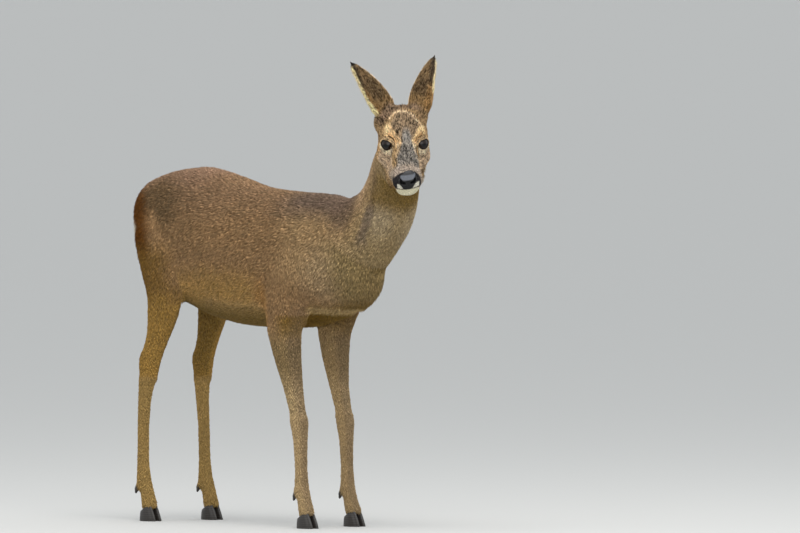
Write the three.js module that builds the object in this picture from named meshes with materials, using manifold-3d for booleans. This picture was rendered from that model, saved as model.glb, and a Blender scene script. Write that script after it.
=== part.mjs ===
// A standing roe doe in her winter coat, life size, in millimetres.
// +X is the way the trunk points, +Y her left, +Z up. The floor is z = 0, under her hooves.
// The solids reach out to the tips of the coat. She looks round to her right.
import * as THREE from "three";
import { mergeVertices } from "three/addons/utils/BufferGeometryUtils.js";
import Module from "manifold-3d";

const wasm = await Module();
wasm.setup();

// ---- Driving sizes ----
const CROUP_HEIGHT = 725; // the highest point of the back, over the hips
const WITHERS_HEIGHT = 673;
const BRISKET_HEIGHT = 396; // the lowest point of the chest
const TRUNK_LENGTH = 656;
const TRUNK_WIDTH = 222;
const HOCK_HEIGHT = 317; // to the point of the hock
const FORE_STANCE = 65; // from the midline to each forefoot
const HIND_STANCE = 65;
const HEAD_LENGTH = 212;
const HEAD_WIDTH = 110; // across the cheeks
const EYE_RADIUS = 15;
const EAR_LENGTH = 128;
const EAR_WIDTH = 52;
const HOOF_LENGTH = 44;
const GAP = 0.3; // between pieces that meet
const LARGE = 2000; // the side of a block that cuts the whole animal

// ---- Where the head is, and how it is turned ----
const EYES_AT = new THREE.Vector3(458.5, -42.5, 776); // midway between the eyes
const HEAD_TURN = -39; // degrees about +Z from straight ahead, so to her right
const HEAD_DROP = 33; // degrees that the line of the face falls
const HEAD_ROLL = 1.5;

const rad = THREE.MathUtils.degToRad;
const UP = new THREE.Vector3(0, 0, 1);
const AHEAD = new THREE.Vector3(1, 0, 0);

// ---- Making solids ----

// A closed skin over a list of rings, which all have the same number of points. Its ends are capped.
function skinOver(rings) {
  const around = rings[0].length;
  const points = rings.flat();
  const faces = [];
  for (let i = 0; i + 1 < rings.length; i++)
    for (let j = 0; j < around; j++) {
      const k = (j + 1) % around;
      const [a, b, c, d] = [i * around + j, i * around + k, (i + 1) * around + j, (i + 1) * around + k];
      faces.push(a, b, c, b, d, c);
    }
  for (const end of [0, rings.length - 1]) {
    const middle = points.length;
    const centre = rings[end].reduce((sum, p) => sum.add(p), new THREE.Vector3()).divideScalar(around);
    points.push(centre);
    for (let j = 0; j < around; j++) {
      const [a, b] = [end * around + j, end * around + ((j + 1) % around)];
      if (end) faces.push(middle, a, b);
      else faces.push(middle, b, a);
    }
  }
  return new THREE.BufferGeometry().setFromPoints(points).setIndex(faces);
}

// One station of a limb: its middle, and how far it reaches sideways, frontwards and backwards from there.
const station = (x, y, z, side, front, back) => ({
  middle: new THREE.Vector3(x, y, z),
  reach: new THREE.Vector3(side, front, back),
});

// A smooth body through its stations. Each ring lies square to the line through the middles, its front
// towards lean. squareness is 2 for an oval ring and more for a boxier one. grow thickens it all round.
function limb(stations, lean, { around = 16, steps = 3, squareness = 2, grow = 0 } = {}) {
  const line = new THREE.CatmullRomCurve3(stations.map((s) => s.middle));
  const reach = new THREE.CatmullRomCurve3(stations.map((s) => s.reach));
  const count = (stations.length - 1) * steps;
  const power = 2 / squareness;
  const bent = (v) => Math.sign(v) * Math.abs(v) ** power;
  const rings = [];
  for (let i = 0; i <= count; i++) {
    const middle = line.getPoint(i / count);
    const { x: side, y: front, z: back } = reach.getPoint(i / count);
    const along = line.getTangent(i / count);
    middle.addScaledVector(along, grow * ((i === count) - (i === 0)));
    const sideways = new THREE.Vector3().crossVectors(lean, along).normalize();
    const frontways = new THREE.Vector3().crossVectors(along, sideways);
    const ring = [];
    for (let j = 0; j < around; j++) {
      const angle = (j / around) * 2 * Math.PI;
      const [c, s] = [bent(Math.cos(angle)), bent(Math.sin(angle))];
      const out = (s > 0 ? front : back) + grow;
      ring.push(
        middle
          .clone()
          .addScaledVector(sideways, c * (side + grow))
          .addScaledVector(frontways, s * out),
      );
    }
    rings.push(ring);
  }
  return skinOver(rings);
}

// The solid inside a closed geometry.
function solid(geometry) {
  const bare = new THREE.BufferGeometry().setIndex(geometry.index);
  bare.setAttribute("position", geometry.getAttribute("position"));
  const merged = mergeVertices(bare, 1e-3);
  const found = merged.index.array;
  const kept = [];
  for (let i = 0; i < found.length; i += 3) {
    const [a, b, c] = found.subarray(i, i + 3);
    if (a !== b && b !== c && c !== a) kept.push(a, b, c);
  }
  return new wasm.Manifold(
    new wasm.Mesh({
      numProp: 3,
      vertProperties: merged.getAttribute("position").array,
      triVerts: new Uint32Array(kept),
    }),
  );
}

// A block that fills the half of space past a point, the way that normal points, from half a gap on.
function past(point, normal) {
  const way = normal.clone().normalize();
  const block = new THREE.BoxGeometry(LARGE, LARGE, LARGE);
  const turn = new THREE.Quaternion().setFromUnitVectors(UP, way);
  const centre = point.clone().addScaledVector(way, LARGE / 2 + GAP / 2);
  return solid(block.applyMatrix4(new THREE.Matrix4().compose(centre, turn, new THREE.Vector3(1, 1, 1))));
}

// The two sides of a thin cut through a solid.
function parted(whole, point, normal) {
  return [past(point, normal), past(point, normal.clone().negate())].map((half) => whole.intersect(half));
}

// The largest piece of a solid, which drops slivers that a cut leaves.
const largest = (made) => made.decompose().reduce((a, b) => (a.volume() > b.volume() ? a : b));

const joined = (...solids) => solids.reduce((a, b) => a.add(b));

// ---- Materials ----
const finish = (name, color, roughness) =>
  Object.assign(new THREE.MeshStandardMaterial({ color, roughness, metalness: 0 }), { name });
const coat = finish("coat", "#77634c", 0.9);
const faceCoat = finish("face_coat", "#87765f", 0.9);
const earCoat = finish("ear_coat", "#5d4c3b", 0.9);
const tailCoat = finish("tail_coat", "#e9e3d4", 0.9);
const noseSkin = finish("nose_skin", "#1d1b1c", 0.35);
const eyeball = finish("eyeball", "#17100c", 0.08);
const horn = finish("horn", "#26201b", 0.45);

const deer = new THREE.Group();

function geometryOf(made) {
  const mesh = made.getMesh();
  const geometry = new THREE.BufferGeometry();
  geometry.setAttribute("position", new THREE.BufferAttribute(mesh.vertProperties, mesh.numProp));
  geometry.setIndex(new THREE.BufferAttribute(mesh.triVerts, 1));
  return geometry;
}

function show(name, made, material) {
  const geometry = geometryOf(largest(solid(geometryOf(largest(made)))));
  geometry.computeVertexNormals();
  const piece = new THREE.Mesh(geometry, material);
  piece.name = name;
  deer.add(piece);
  return piece;
}

// ---- Trunk ----
// A ring of the trunk: its place along X, the heights of its top, its bottom and its widest level, and
// half its width there.
const trunkRing = (x, top, bottom, widest, half) =>
  station(x, 0, widest, half, top - widest, widest - bottom);
const [REAR, FRONT] = [-TRUNK_LENGTH / 2, TRUNK_LENGTH / 2];
const HALF = TRUNK_WIDTH / 2;
const trunkRings = [
  trunkRing(REAR + 2, 634, 608, 621, 14),
  trunkRing(REAR + 8, 670, 572, 621, 42),
  trunkRing(REAR + 33, 695, 530, 619, 66),
  trunkRing(REAR + 82, 714, 490, 611, 86),
  trunkRing(REAR + 156, CROUP_HEIGHT, 447, 594, HALF - 10),
  trunkRing(REAR + 246, 705, 412, 570, HALF),
  trunkRing(-10, 687, 398, 550, HALF + 2),
  trunkRing(75, 679, BRISKET_HEIGHT, 540, HALF),
  trunkRing(145, 676, 398, 535, HALF - 6),
  trunkRing(FRONT - 118, WITHERS_HEIGHT, 404, 530, HALF - 14),
  trunkRing(FRONT - 64, 655, 418, 525, 84),
  trunkRing(FRONT - 22, 615, 446, 520, 58),
  trunkRing(FRONT, 565, 482, 520, 30),
  trunkRing(FRONT + 4, 540, 500, 520, 12),
];
const barrelForm = (grow) => solid(limb(trunkRings, UP, { around: 18, steps: 2, squareness: 2.15, grow }));
const barrel = barrelForm(0);

// ---- Neck ----
const neckStations = [
  station(176, 0, 520, 66, 84, 86),
  station(235, 4, 556, 75, 98, 94),
  station(290, 10, 592, 66, 88, 86),
  station(338, 16, 636, 55, 73, 68),
  station(366, 13, 682, 50, 66, 60),
  station(386, 3, 722, 48, 60, 56),
  station(404, -7, 752, 44, 50, 50),
  station(420, -16, 774, 36, 36, 38),
];
const neckForm = (grow) => solid(limb(neckStations, AHEAD, { around: 16, steps: 2, grow }));
const neckBody = neckForm(0);

// ---- Head ----
// The head's own frame has its origin between the eyes, +X along the face to the nose, +Y to her left and
// +Z out of the forehead. A ring gives its place along X, its top, bottom and widest level, and half its
// width.
const headPlace = new THREE.Matrix4().compose(
  EYES_AT,
  new THREE.Quaternion().setFromEuler(
    new THREE.Euler(rad(HEAD_ROLL), rad(HEAD_DROP), rad(HEAD_TURN), "ZYX"),
  ),
  new THREE.Vector3(1, 1, 1),
);
const onHead = (geometry) => geometry.applyMatrix4(headPlace);
const NOSE_TIP = HEAD_LENGTH - 96;
const CHEEK = HEAD_WIDTH / 2;
const headRings = [
  trunkRing(-96, 14, -16, 0, 12),
  trunkRing(-86, 44, -42, -2, 34),
  trunkRing(-60, 63, -62, -6, 46),
  trunkRing(-34, 57, -70, -6, CHEEK - 5),
  trunkRing(-14, 50, -70, -6, CHEEK - 7),
  trunkRing(0, 45, -68, -8, 42),
  trunkRing(12, 39, -66, -10, 31),
  trunkRing(30, 31, -62, -12, 27.5),
  trunkRing(52, 23, -58, -14, 27.5),
  trunkRing(76, 15, -55, -16, 28.5),
  trunkRing(94, 10, -53, -17, 30.5),
  trunkRing(106, 5, -49, -18, 29),
  trunkRing(NOSE_TIP - 2, -2, -42, -18, 22),
  trunkRing(NOSE_TIP + 2, -12, -30, -18, 10),
];
// Rounder forms: each gives its middle in the head's frame and its half sizes.
const paired = [
  [-18, 22, -38, 54, 33, 42], // the cheek
  [14, 16, -56, 54, 31, 28], // the jaw
  [46, 10, -36, 50, 23, 28], // the side of the snout
  [-10, 31, 19, 24, 14, 14], // the brow over the eye
  [-58, 28, 31, 25, 25, 29], // the foot of the ear
];
const lumps = [...paired, ...paired.map(([x, y, ...others]) => [x, -y, ...others])];
lumps.push([-60, -41, 14, 22, 16, 27]); // the right ear is the lower one
function headForm(grow) {
  const mask = limb(headRings, UP, { around: 16, steps: 1, squareness: 2.2, grow });
  const sides = lumps.map(([x, y, z, long, wide, tall]) =>
    new THREE.SphereGeometry(1, 8, 6).scale(long + grow, wide + grow, tall + grow).translate(x, y, z),
  );
  return joined(...[mask, ...sides].map((geometry) => solid(onHead(geometry))));
}
const skull = headForm(0);

// ---- Ears ----
// An ear is a pointed scoop. In its own frame it stands along +Z and its hollow faces +Y. Both lists give, at
// shares of the length, the half width, the reach towards the hollow's side and the reach of the back.
const WIDE = EAR_WIDTH / 2;
const earStation = (share, bow, side, front, back) => station(0, -bow, share * EAR_LENGTH, side, front, back);
const earOuter = [
  earStation(0, 0, WIDE * 0.86, 16, 18),
  earStation(0.13, 1, WIDE, 16, 19),
  earStation(0.27, 3, WIDE, 12, 18),
  earStation(0.42, 4, WIDE * 0.93, 7, 15),
  earStation(0.58, 4, WIDE * 0.79, 4, 11),
  earStation(0.74, 2, WIDE * 0.6, 2.5, 8),
  earStation(0.89, -1, WIDE * 0.35, 2, 5),
  earStation(1, -4, WIDE * 0.07, 1.3, 1.3),
];
const earHollow = [
  earStation(0.12, -2, 3, 4, 2),
  earStation(0.27, 3, WIDE - 6.5, 22, 11),
  earStation(0.42, 4, WIDE * 0.93 - 3.5, 18, 11),
  earStation(0.58, 4, WIDE * 0.79 - 3, 13, 7.8),
  earStation(0.74, 2, WIDE * 0.6 - 3, 9, 5),
  earStation(0.88, -1, WIDE * 0.35 - 3, 6, 2.4),
  earStation(0.94, -3, 1.2, 5, 0.2),
];

// Places an ear: its root in the head's frame, and in the world the way that its tip points and the way
// that its hollow faces.
function placedEar(root, tipWay, hollowWay) {
  const tip = tipWay.clone().normalize();
  const across = new THREE.Vector3().crossVectors(hollowWay, tip).normalize();
  const hollow = new THREE.Vector3().crossVectors(tip, across);
  const turn = new THREE.Matrix4().makeBasis(across, hollow, tip);
  turn.setPosition(root.clone().applyMatrix4(headPlace));
  const [outer, inner] = [earOuter, earHollow].map((stations) =>
    solid(limb(stations, new THREE.Vector3(0, 1, 0), { around: 10, steps: 1 }).applyMatrix4(turn)),
  );
  return outer.subtract(inner);
}

// ---- Legs ----
// Each leg is a list of stations from the body down to the coronet, above the hooves.
const foreLeg = (y, hoofX) => [
  station(186, y * 0.76, 594, 30, 56, 48),
  station(180, y * 0.97, 555, 40, 74, 60),
  station(168, y * 1.12, 500, 44, 74, 62),
  station(151, y * 1.13, 440, 40, 54, 50),
  station(145, y * 1.08, 390, 34, 38, 38),
  station(152, y * 1.04, 340, 28, 30, 30),
  station(165, y, 280, 21, 22, 22),
  station(177, y, 232, 18, 19, 18),
  station(182, y, 208, 18, 19, 19),
  station(185, y, 178, 14.5, 15, 16),
  station(187, y, 120, 12.5, 13, 13.5),
  station(189, y, 84, 14.5, 14.5, 17),
  station(196, y, 55, 14, 15, 15),
  station(hoofX, y, 22, 16.5, 18, 18),
];
// lag is how far the lower leg stands ahead of the place that it has in the right leg.
const hindLeg = (y, lag) => [
  station(-216, y * 0.55, 662, 20, 56, 48),
  station(-212, y * 0.8, 625, 36, 88, 72),
  station(-208, y * 0.96, 582, 42, 104, 82),
  station(-206, y * 1.07, 535, 42, 104, 64),
  station(-205, y * 1.1, 490, 36, 77, 46),
  station(-206 + lag * 0.1, y * 1.08, 455, 30, 53, 37),
  station(-209 + lag * 0.2, y * 1.05, 430, 29, 45, 37),
  station(-217 + lag * 0.3, y * 1.02, 400, 25, 35, 32),
  station(-227 + lag * 0.42, y, 372, 21, 28, 28),
  station(-238 + lag * 0.5, y, 345, 19, 26, 27),
  station(-248 + lag * 0.6, y, HOCK_HEIGHT + 8, 19, 27, 32),
  station(-252 + lag * 0.7, y, 300, 18, 25, 26),
  station(-258 + lag * 0.8, y, 278, 15, 17, 18),
  station(-264 + lag, y, 245, 13, 14, 15),
  station(-267 + lag * 1.2, y, 195, 12, 12, 13),
  station(-268 + lag * 1.3, y, 120, 12, 12.5, 13.5),
  station(-266 + lag * 1.3, y, 88, 14, 15, 17),
  station(-256 + lag * 1.3, y, 56, 14, 15, 15),
  station(-247 + lag * 1.3, y, 22, 16.5, 18, 18),
];
const legs = {
  fore_right: { sign: -1, x: 205, stations: foreLeg(-FORE_STANCE, 205) },
  fore_left: { sign: 1, x: 208, stations: foreLeg(FORE_STANCE, 208) },
  hind_right: { sign: -1, x: -247, stations: hindLeg(-HIND_STANCE, 0) },
  hind_left: { sign: 1, x: -202, stations: hindLeg(HIND_STANCE, 35) },
};

// ---- Tail ----
const tailBody = solid(
  limb(
    [
      station(REAR + 20, 0, 655, 13, 9, 12),
      station(REAR + 8, 0, 640, 16, 9, 12),
      station(REAR, 0, 620, 15, 9, 10),
      station(REAR, 0, 600, 8, 5, 5),
    ],
    AHEAD,
    { around: 8, steps: 1 },
  ),
);

// ---- Feet ----
// The cut between pastern and hooves rises to the front.
const coronet = (x, y) => [new THREE.Vector3(x, y, 26), new THREE.Vector3(-0.3, 0, 1)];

// One of the two hooves of a foot: rounded behind, pointed in front, flat below and leaning inwards.
function hoof(x, y, inward) {
  const rings = [];
  const [steps, around] = [2, 12];
  const cleft = 1.2; // from the foot's midline to the inner wall
  for (let i = 0; i <= steps; i++) {
    const rise = i / steps;
    const height = 46 * rise;
    const width = 15.5 - 1.5 * rise;
    const ring = [];
    for (let j = 0; j < around; j++) {
      const angle = (j / around) * 2 * Math.PI;
      const [c, s] = [Math.cos(angle), Math.sin(angle)];
      const reach = c > 0 ? 29 - 15 * rise : HOOF_LENGTH - 29;
      const narrow = c > 0 ? (1 - c ** 2.2) ** 0.9 : Math.abs(s);
      const across = (width / 2) * Math.sign(s) * narrow;
      ring.push(
        new THREE.Vector3(x - 6 + reach * c + 2 * rise, y - inward * (cleft + width / 2) + across, height),
      );
    }
    rings.push(ring);
  }
  return solid(skinOver(rings));
}

// One of the two small claws behind the foot.
function dewclaw(x, y, z, outward, grow) {
  return solid(
    limb(
      [
        station(x + 5, y, z + 8, 4.5, 4, 4),
        station(x + 1, y + outward * 2, z, 6, 5.5, 5),
        station(x - 3, y + outward * 3, z - 8, 4.5, 3.5, 4),
        station(x - 3, y + outward * 3, z - 13, 1.8, 1.4, 1.4),
      ],
      AHEAD,
      { around: 6, steps: 1, grow },
    ),
  );
}

// ---- Putting the body together, and parting it ----
const legBodies = {};
const legSpaces = {};
const SEAM = 3; // how far outside a leg's own form it parts from the trunk
for (const [name, { stations }] of Object.entries(legs)) {
  legBodies[name] = solid(limb(stations, AHEAD, { around: 10, steps: 1 }));
  legSpaces[name] = [SEAM, SEAM + GAP].map((grow) =>
    solid(limb(stations, AHEAD, { around: 10, steps: 1, grow })),
  );
}
const frame = joined(barrel, neckBody, ...Object.values(legBodies));

const NECK_ROOT = [new THREE.Vector3(262, 0, 600), new THREE.Vector3(0.64, 0, 0.77)];
const [neckAndOn, rest] = parted(frame, ...NECK_ROOT);
let trunk = rest;
for (const [, wide] of Object.values(legSpaces)) trunk = trunk.subtract(wide);

show("trunk", trunk, coat);
show("tail", tailBody.subtract(barrelForm(2 * GAP)), tailCoat);

const headWays = new THREE.Matrix4().extractRotation(headPlace);
const faceWay = AHEAD.clone().applyMatrix4(headWays);
const THROAT = [new THREE.Vector3(-60, 0, -30).applyMatrix4(headPlace), new THREE.Vector3(0.5, -0.42, 0.5)];
const [headWhole, neck] = parted(joined(neckAndOn, skull), ...THROAT);
show("neck", neck, coat);

const MUZZLE_ROOT = [new THREE.Vector3(NOSE_TIP - 14, 0, -10).applyMatrix4(headPlace), faceWay];
const [muzzle, headRest] = parted(headWhole, ...MUZZLE_ROOT);

// Eyes, in sockets a little larger than they are, with a hollow at the front corner of each.
let head = headRest;
for (const [name, sign] of [
  ["right", -1],
  ["left", 1],
]) {
  const centre = new THREE.Vector3(-2, sign * 32, 2).applyMatrix4(headPlace);
  const ball = (radius) =>
    solid(new THREE.SphereGeometry(radius, 11, 7).translate(centre.x, centre.y, centre.z));
  const corner = new THREE.SphereGeometry(1, 10, 6).scale(20, 13, 12).translate(17, sign * 37, 7);
  head = head.subtract(solid(onHead(corner))).subtract(ball(EYE_RADIUS + GAP));
  show(`eye_${name}`, ball(EYE_RADIUS), eyeball);
}

// Ears: each is set a little into the head, which is cut back round its foot.
const ears = {
  right: placedEar(
    new THREE.Vector3(-62, -31, 36),
    new THREE.Vector3(-0.475, -0.335, 0.815),
    new THREE.Vector3(-0.97, 0.2, 0),
  ),
  left: placedEar(
    new THREE.Vector3(-60, 31, 38),
    new THREE.Vector3(-0.075, 0.435, 0.9),
    new THREE.Vector3(-0.25, 0.96, 0),
  ),
};
const fuller = headForm(2 * GAP).add(neckForm(GAP));
for (const [name, made] of Object.entries(ears)) show(`ear_${name}`, made.subtract(fuller), earCoat);
show("head", head, faceCoat);
show("muzzle", muzzle, noseSkin);

for (const [name, { sign, x, stations }] of Object.entries(legs)) {
  const y = stations.at(-1).middle.y;
  const whole = rest.intersect(legSpaces[name][0]);
  const [limbOnly] = parted(whole, ...coronet(x, y));
  const low = name.startsWith("fore") ? 232 : HOCK_HEIGHT - 22;
  const [upper, lower] = parted(limbOnly, new THREE.Vector3(0, 0, low), UP);
  show(`leg_${name}_upper`, upper, coat);
  let pastern = lower;
  for (const [side, inward] of [
    ["inner", sign],
    ["outer", -sign],
  ]) {
    const [, below] = parted(hoof(x, y, inward), ...coronet(x, y));
    show(`hoof_${name}_${side}`, below, horn);
    const claw = (grow) => dewclaw(stations.at(-3).middle.x - 12, y - inward * 8, 66, -inward, grow);
    pastern = pastern.subtract(claw(GAP));
    show(`dewclaw_${name}_${side}`, claw(0), horn);
  }
  show(`leg_${name}_lower`, pastern, coat);
}

// The origin is on the floor, under the middle of the whole animal.
const box = new THREE.Box3().setFromObject(deer);
const middle = box.getCenter(new THREE.Vector3());
deer.position.set(-middle.x, -middle.y, -box.min.z);

export default deer;
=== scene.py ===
"""A roe doe in her winter coat: one skin, a coat of tufts over it, eyes, nose and hooves."""

import math

import bmesh
import bpy
import numpy as np
from mathutils import Euler, Matrix, Vector
from mathutils.bvhtree import BVHTree


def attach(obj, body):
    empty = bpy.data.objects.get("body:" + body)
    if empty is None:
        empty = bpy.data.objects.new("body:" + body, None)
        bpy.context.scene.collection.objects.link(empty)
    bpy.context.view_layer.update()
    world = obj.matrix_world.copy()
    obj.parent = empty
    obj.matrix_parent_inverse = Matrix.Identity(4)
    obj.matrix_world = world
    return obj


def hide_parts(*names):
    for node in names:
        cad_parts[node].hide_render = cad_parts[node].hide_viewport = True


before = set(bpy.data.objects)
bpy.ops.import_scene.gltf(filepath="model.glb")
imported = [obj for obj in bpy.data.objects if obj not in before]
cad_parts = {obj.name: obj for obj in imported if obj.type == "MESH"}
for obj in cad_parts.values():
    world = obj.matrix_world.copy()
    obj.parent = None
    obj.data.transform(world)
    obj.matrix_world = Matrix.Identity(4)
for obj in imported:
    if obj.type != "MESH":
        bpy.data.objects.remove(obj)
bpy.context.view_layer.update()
bpy.ops.object.select_all(action="DESELECT")

draw = np.random.default_rng(20260)
rad = math.radians
MM = 0.001

# ---- Where things are ----
# The doe is described in her own millimetres: +X ahead, +Y to her left, z = 0 under her hooves.
BODY_AT = np.array([-101.944, 0.0, 0.0])
# The head has its own millimetres: +X along the face to the nose, +Y to her left, +Z out of the forehead.
HEAD_AT = (np.array([458.5, -42.5, 776.0]) + BODY_AT) * MM
HEAD_AXES = np.array(Euler((rad(1.5), rad(33), rad(-39)), "XYZ").to_matrix())

EYE_AT = np.array([-2.0, 32.0, 1.0])  # the left eye, in the head's millimetres
EYE_RADIUS = 15.0

# Where the kinds of coat stand in the lists that give a value for each.
TRUNK, NECK, TAIL, HEAD, EAR, UPPER_LEG, LOWER_LEG = range(7)


def in_body(points):
    return points / MM - BODY_AT


def in_head(points):
    return (points - HEAD_AT) @ HEAD_AXES / MM


def from_head(points):
    return np.asarray(points, float) * MM @ HEAD_AXES.T + HEAD_AT


def eye_centre(sign):
    """The middle of her right eye for -1, of her left eye for 1."""
    return from_head(EYE_AT * (1, sign, 1))


def unit(vectors):
    length = np.linalg.norm(vectors, axis=-1, keepdims=True)
    return vectors / np.maximum(length, 1e-12)


def ease(x, low, high):
    """0 below low, 1 above high and smooth between. low may be above high."""
    t = np.clip((x - low) / (high - low), 0, 1)
    return t * t * (3 - 2 * t)


def blob(points, middle, half, soft=0.5):
    """1 within an oval of these half sizes, falling to 0 over a share of its size outside."""
    away = np.linalg.norm((points - np.array(middle, float)) / np.array(half, float), axis=1)
    return ease(away, 1 + soft, 1 - soft * 0.5)


def noise(points, size, seed):
    """Smooth noise from -1 to 1 with lumps of this size."""
    q = points / size + seed * 17.31
    cell = np.floor(q).astype(np.int64)
    part = q - cell
    part = part * part * (3 - 2 * part)
    total = np.zeros(len(points))
    for corner in range(8):
        step = np.array([corner & 1, corner >> 1 & 1, corner >> 2 & 1])
        c = cell + step
        n = (c[:, 0] * 374761393 + c[:, 1] * 668265263 + c[:, 2] * 1440662683 + seed * 69069) & 0xFFFFFFFF
        n = ((n ^ (n >> 13)) * 1274126177) & 0xFFFFFFFF
        value = ((n ^ (n >> 16)) & 0xFFFF) / 32767.5 - 1
        total += value * np.prod(np.where(step, part, 1 - part), axis=1)
    return total


def paint(red, green, blue):
    """A colour given as it looks, made linear."""
    c = np.array([red, green, blue]) / 255
    return np.where(c < 0.04045, c / 12.92, ((c + 0.055) / 1.055) ** 2.4)


def in_scene(name, data):
    """A new object with this data, in the scene."""
    made = bpy.data.objects.new(name, data)
    bpy.context.scene.collection.objects.link(made)
    return made


def points_of(mesh):
    flat = np.empty(len(mesh.vertices) * 3, np.float32)
    mesh.vertices.foreach_get("co", flat)
    return flat.reshape(-1, 3).astype(float)


# ---- The skin's form ----
SIDES = ("right", "left")
SIDE_SIGNS = (("right", -1), ("left", 1))
LEGS = [f"leg_{end}_{side}" for end in ("fore", "hind") for side in SIDES]
FLESH = ["trunk", "tail", "neck", "head", "muzzle", "ear_right", "ear_left"]
FLESH += [f"{leg}_{part}" for leg in LEGS for part in ("upper", "lower")]
GRAIN = 0.0022  # the side of one cell of the skin's net
SWELL = 0.0004  # the solids are parted by small cuts, which this closes
SOCKET = 0.0165  # the ball of flesh behind the lids
CLAW_TOP = 0.005  # how much of a dewclaw counts as its top
CLAW_SWELLINGS = ((0.0, 0.0085), (0.35, 0.0072))  # share of the way down the claw, and radius

whole = bmesh.new()
shell_points, shell_faces, shell_node = [], [], []
for number, node in enumerate(FLESH):
    piece = bmesh.new()
    piece.from_mesh(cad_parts[node].data)
    bmesh.ops.remove_doubles(piece, verts=piece.verts, dist=1e-6)
    piece.normal_update()
    start = len(shell_points)
    shell_points += [v.co.copy() for v in piece.verts]
    shell_faces += [[start + v.index for v in f.verts] for f in piece.faces]
    shell_node += [number] * len(piece.faces)
    for v in piece.verts:
        v.co += v.normal * SWELL
    swelled = bpy.data.meshes.new("swelled")
    piece.to_mesh(swelled)
    whole.from_mesh(swelled)
    bpy.data.meshes.remove(swelled)
    piece.free()
for sign in (-1, 1):
    at_eye = Matrix.Translation(Vector(eye_centre(sign)))
    bmesh.ops.create_icosphere(whole, subdivisions=3, radius=SOCKET, matrix=at_eye)
# A dewclaw grows out of a small swelling behind the pastern.
for leg in LEGS:
    for part in ("inner", "outer"):
        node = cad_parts[f"dewclaw_{leg.removeprefix('leg_')}_{part}"]
        claw_points = points_of(node.data)
        claw_top = claw_points[claw_points[:, 2] > claw_points[:, 2].max() - CLAW_TOP].mean(0)
        for share, radius in CLAW_SWELLINGS:
            middle = claw_top + share * (claw_points.mean(0) - claw_top)
            place = Matrix.Translation(Vector(middle))
            bmesh.ops.create_icosphere(whole, subdivisions=2, radius=radius, matrix=place)
form = in_scene("form", bpy.data.meshes.new("form"))
whole.to_mesh(form.data)
whole.free()
wrap = form.modifiers.new("wrap", "REMESH")
wrap.mode = "VOXEL"
wrap.voxel_size = GRAIN
result = form.evaluated_get(bpy.context.evaluated_depsgraph_get())
wrapped = result.to_mesh()
skin_at = points_of(wrapped)
count = len(skin_at)
corners = np.empty(len(wrapped.loops), np.int32)
wrapped.loops.foreach_get("vertex_index", corners)
cells = corners.reshape(-1, 4)
result.to_mesh_clear()
bpy.data.objects.remove(form)

pairs = np.sort(np.concatenate([cells[:, [i, (i + 1) % 4]] for i in range(4)]), axis=1).astype(np.int64)
pairs = np.unique(pairs[:, 0] * count + pairs[:, 1])
one, two = pairs // count, pairs % count


def summed(values, weights=1.0):
    """For each net point the sum of its neighbours' values, weighted by the edges to them."""
    return np.bincount(one, weights * values[two], count) + np.bincount(two, weights * values[one], count)


neighbours = summed(np.ones(count))


def gathered(values):
    """The mean of each net point's neighbours."""
    return np.stack([summed(column) / neighbours for column in values.T], axis=1)


def spread(values, rounds, share=0.9):
    """Values blurred over the skin's net."""
    flat = values.reshape(count, -1).astype(float)
    for _ in range(rounds):
        flat = flat + share * (gathered(flat) - flat)
    return flat.reshape(values.shape)


def normals_of(points):
    a, b, c, d = (points[cells[:, i]] for i in range(4))
    face = np.cross(c - a, d - b)
    total = np.zeros_like(points)
    for i in range(4):
        for k in range(3):
            total[:, k] += np.bincount(cells[:, i], face[:, k], count)
    return unit(total)


shell = BVHTree.FromPolygons(shell_points, shell_faces)
nearest = np.array([shell_node[shell.find_nearest(p)[2]] for p in skin_at])
named = {node: nearest == number for number, node in enumerate(FLESH)}
on_trunk, on_neck, on_tail = named["trunk"], named["neck"], named["tail"]
on_head = named["head"] | named["muzzle"]
on_ear = named["ear_right"] | named["ear_left"]
on_upper = np.any([named[f"{leg}_upper"] for leg in LEGS], axis=0)
on_lower = np.any([named[f"{leg}_lower"] for leg in LEGS], axis=0)
kinds = [on_trunk, on_neck, on_tail, on_head, on_ear, on_upper, on_lower]


def by_kind(*values, rounds=14):
    """One value each for trunk, neck, tail, head, ears, upper and lower legs, blurred where they meet."""
    start = np.zeros((count,) + np.shape(values[0]))
    for where, value in zip(kinds, values):
        start[where] = value
    return spread(start, rounds)


# Soften the facets: long rounds on the body, short ones where the form is small.
softness = by_kind(1.0, 1.0, 0.4, 0.3, 0.12, 0.75, 0.3, rounds=10)
SOFT_ROUNDS = 80
for turn in range(SOFT_ROUNDS):
    now = np.clip(softness * SOFT_ROUNDS - turn, 0, 1)[:, None]
    skin_at += 0.9 * now * (gathered(skin_at) - skin_at)


# ---- How the coat lies, how long it is and how it is ticked ----
x, y, z = in_body(skin_at).T
ahead, aside, upward = in_head(skin_at).T
EARS = {}
for side, root, tip, hollow in (
    ("right", (-62, -31, 36), (-0.475, -0.335, 0.815), (-0.97, 0.2, 0)),
    ("left", (-60, 31, 38), (-0.075, 0.435, 0.9), (-0.25, 0.96, 0)),
):
    tip, hollow = unit(np.array(tip)), np.array(hollow)
    across = unit(np.cross(hollow, tip))
    EARS[side] = (from_head(root), across, np.cross(tip, across), tip)
EAR_LENGTH = 128.0
EAR_HALF = 26  # half the ear's width where it is widest
EAR_SHAPE = [(0, 0.9), (0.27, 1), (0.42, 0.93), (0.58, 0.79), (0.74, 0.6), (0.89, 0.35), (1, 0.07)]


def along(places, pairs):
    """Reads a line of pairs, place and value, at these places."""
    return np.interp(places, *np.array(pairs, float).T)


def ear_half(t):
    """Half the ear's width, t is the share of its length."""
    return EAR_HALF * along(t, EAR_SHAPE)


def in_ear(points, side):
    """Across the ear, out of its hollow and up its length, in millimetres."""
    root, *axes = EARS[side]
    return (points - root) @ np.array(axes).T / MM


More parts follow.
